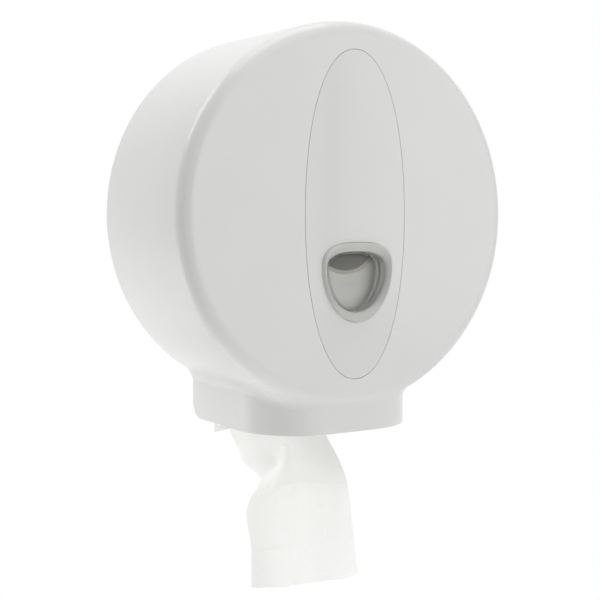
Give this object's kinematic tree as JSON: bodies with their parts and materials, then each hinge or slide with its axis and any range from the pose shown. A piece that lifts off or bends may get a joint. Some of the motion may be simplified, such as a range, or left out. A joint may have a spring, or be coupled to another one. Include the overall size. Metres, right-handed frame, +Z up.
{
  "type": "jumbo toilet roll dispenser",
  "caption": "Wall-mounted round toilet roll dispenser with a drop-down cover on a foot, an oval front panel, a shield-shaped viewing window, a key lock and a jumbo roll on a turning mandrel.",
  "frame": {"origin": "centre of the wall screw pattern on the drum's axis, at the wall", "axes": "+Z up, -Y out of the wall toward the user, +X to the user's right"},
  "size_m": [0.275, 0.1276, 0.4122],
  "materials": {
    "white_plastic": "satin moulded white",
    "panel_plastic": "satin moulded white",
    "smoke_plastic": "translucent smoke grey",
    "clear_smoke": "clear smoke grey",
    "grey_plastic": "matt light grey",
    "black_plastic": "matt black",
    "steel": "bright zinc plated",
    "chrome_steel": "chromed",
    "zinc": "die-cast, satin",
    "cardboard": "raw cardboard",
    "tissue_paper": "soft crepe paper"
  },
  "bodies": {
    "base": {"back_plate": "white_plastic", "hinge_pin_left": "steel", "hinge_pin_right": "steel", "lock_strike": "steel", "strike_screw_left": "steel", "strike_screw_right": "steel", "axle_post": "zinc", "axle_screw_1": "steel", "axle_screw_2": "steel", "axle_screw_3": "steel", "thrust_washer": "black_plastic", "wave_washer": "steel", "axle_cap": "zinc", "cap_screw": "steel", "tissue_tail": "tissue_paper"},
    "cover": {"front_cover": "white_plastic", "centre_panel": "panel_plastic", "window_bezel": "smoke_plastic", "window_lens": "clear_smoke", "window_retainer": "zinc", "retainer_screw_1": "steel", "retainer_screw_2": "steel", "retainer_screw_3": "steel", "retainer_screw_4": "steel", "lock_housing": "chrome_steel", "lock_clip": "steel", "tear_strip_left": "steel", "tear_strip_right": "steel", "tear_screw_1": "steel", "tear_screw_2": "steel", "tear_screw_3": "steel", "tear_screw_4": "steel"},
    "lock": {"lock_plug": "zinc", "lock_cam": "steel", "cam_screw": "steel"},
    "mandrel": {"mandrel": "grey_plastic"},
    "roll": {"core_tube": "cardboard", "paper_roll": "tissue_paper"}
  },
  "joints": [
    {"name": "cover_hinge", "type": "hinge", "parent": "base", "child": "cover", "pos_m": [0, -0.0128, -0.1427], "axis": [1, 0, 0], "range_deg": [0, 90], "deforming": ["tissue_tail"]},
    {"name": "lock_turn", "type": "hinge", "parent": "cover", "child": "lock", "pos_m": [0, -0.016, 0.117], "axis": [0, 0, 1], "range_deg": [0, 90]},
    {"name": "roll_spin", "type": "hinge", "parent": "base", "child": "roll", "pos_m": [0, -0.0635, -0.0127], "axis": [0, 1, 0], "continuous": true},
    {"name": "mandrel_spin", "type": "hinge", "parent": "base", "child": "mandrel", "pos_m": [0, -0.0635, 0], "axis": [0, 1, 0], "continuous": true}
  ],
  "couplings": [
    {"joint": "mandrel_spin", "follows": "roll_spin", "ratio": 1.8667}
  ]
}
